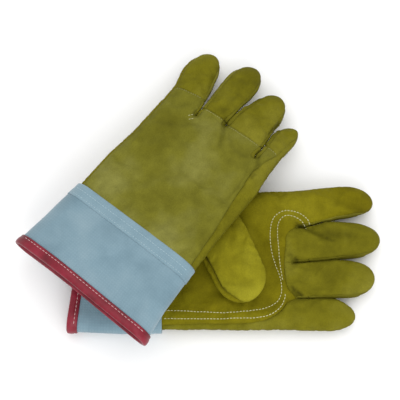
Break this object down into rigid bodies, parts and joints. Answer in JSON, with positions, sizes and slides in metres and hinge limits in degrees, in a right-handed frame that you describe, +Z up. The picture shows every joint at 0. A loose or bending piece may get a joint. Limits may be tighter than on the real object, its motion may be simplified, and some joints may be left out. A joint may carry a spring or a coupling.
{
  "type": "leather protector work gloves",
  "caption": "Pair of leather work gloves with canvas safety cuffs, worn over insulating gloves or alone; fingers and thumbs fold.",
  "frame": {"origin": "bottom centre of the pair's bounding box, on the surface that the left glove lies on", "axes": "+X along the fingers of the left glove, +Y towards the index side of the left glove, +Z up"},
  "size_m": [0.3064, 0.2737, 0.0718],
  "materials": {
    "leather": "matt olive-yellow split cowhide",
    "cuff_canvas": "pale blue rubberised canvas",
    "band_canvas": "pale blue canvas, folded band",
    "binding_vinyl": "crimson vinyl, semi-gloss",
    "lining_cotton": "unbleached cotton",
    "thread": "pale waxed thread"
  },
  "bodies": {
    "left_hand": {"left_palm_panel": "leather", "left_back_panel": "leather", "left_side_panel": "leather", "left_finger_fronts_base": "leather", "left_fourchette_index_middle": "leather", "left_fourchette_middle_ring": "leather", "left_fourchette_ring_little": "leather", "left_cuff": "cuff_canvas", "left_cuff_band": "band_canvas", "left_cuff_binding": "binding_vinyl", "left_lining": "lining_cotton", "left_palm_topstitch": "thread", "left_thumb_base": "leather"},
    "left_index": {"left_index_front": "leather", "left_index_tip_back": "leather", "left_index_fourchette": "leather"},
    "left_middle": {"left_middle_front": "leather", "left_middle_tip_back": "leather", "left_middle_fourchette": "leather"},
    "left_ring": {"left_ring_front": "leather", "left_ring_tip_back": "leather", "left_ring_fourchette": "leather"},
    "left_little": {"left_little_front": "leather", "left_little_tip_back": "leather", "left_little_fourchette": "leather"},
    "left_thumb": {"left_thumb_back": "leather", "left_thumb_front": "leather", "left_thumb_sides": "leather"},
    "right_hand": {"right_palm_panel": "leather", "right_back_panel": "leather", "right_side_panel": "leather", "right_finger_fronts_base": "leather", "right_fourchette_index_middle": "leather", "right_fourchette_middle_ring": "leather", "right_fourchette_ring_little": "leather", "right_cuff": "cuff_canvas", "right_cuff_band": "band_canvas", "right_cuff_binding": "binding_vinyl", "right_lining": "lining_cotton", "right_palm_topstitch": "thread", "right_thumb_base": "leather"},
    "right_index": {"right_index_front": "leather", "right_index_tip_back": "leather", "right_index_fourchette": "leather"},
    "right_middle": {"right_middle_front": "leather", "right_middle_tip_back": "leather", "right_middle_fourchette": "leather"},
    "right_ring": {"right_ring_front": "leather", "right_ring_tip_back": "leather", "right_ring_fourchette": "leather"},
    "right_little": {"right_little_front": "leather", "right_little_tip_back": "leather", "right_little_fourchette": "leather"},
    "right_thumb": {"right_thumb_back": "leather", "right_thumb_front": "leather", "right_thumb_sides": "leather"}
  },
  "joints": [
    {"name": "right_glove_lift", "type": "slide", "parent": "left_hand", "child": "right_hand", "axis": [0, 0, 1], "range_m": [0, 0.12]},
    {"name": "left_index_knuckle", "type": "hinge", "parent": "left_hand", "child": "left_index", "pos_m": [0.09382, -0.01058, 0.0242], "axis": [0.1132, -0.9936, 0], "range_deg": [0, 75]},
    {"name": "left_middle_knuckle", "type": "hinge", "parent": "left_hand", "child": "left_middle", "pos_m": [0.08987, -0.04229, 0.0242], "axis": [0.0837, -0.9965, 0], "range_deg": [0, 75]},
    {"name": "left_ring_knuckle", "type": "hinge", "parent": "left_hand", "child": "left_ring", "pos_m": [0.08889, -0.07341, 0.0242], "axis": [0.0523, -0.9986, 0], "range_deg": [0, 75]},
    {"name": "left_little_knuckle", "type": "hinge", "parent": "left_hand", "child": "left_little", "pos_m": [0.0934, -0.10291, 0.0242], "axis": [-0.0262, -0.9997, 0], "range_deg": [0, 75]},
    {"name": "left_thumb_fold", "type": "hinge", "parent": "left_hand", "child": "left_thumb", "pos_m": [0.02006, -0.05015, 0.038], "axis": [-0.8988, -0.4384, 0], "range_deg": [0, 50]},
    {"name": "right_index_knuckle", "type": "hinge", "parent": "right_hand", "child": "right_index", "pos_m": [-0.01049, 0.09112, 0.01113], "axis": [-0.8744, 0.4747, -0.1005], "range_deg": [0, 75]},
    {"name": "right_middle_knuckle", "type": "hinge", "parent": "right_hand", "child": "right_middle", "pos_m": [0.01258, 0.06754, 0.01618], "axis": [-0.807, 0.5778, -0.1223], "range_deg": [0, 75]},
    {"name": "right_ring_knuckle", "type": "hinge", "parent": "right_hand", "child": "right_ring", "pos_m": [0.03612, 0.0472, 0.02036], "axis": [-0.7879, 0.6024, -0.1275], "range_deg": [0, 70]},
    {"name": "right_little_knuckle", "type": "hinge", "parent": "right_hand", "child": "right_little", "pos_m": [0.06147, 0.03247, 0.02172], "axis": [-0.7726, 0.6212, -0.1315], "range_deg": [0, 75]},
    {"name": "right_thumb_fold", "type": "hinge", "parent": "right_hand", "child": "right_thumb", "pos_m": [-0.02183, 0.03504, 0.01005], "axis": [-0.2701, 0.9419, -0.1994], "range_deg": [0, 50]}
  ]
}
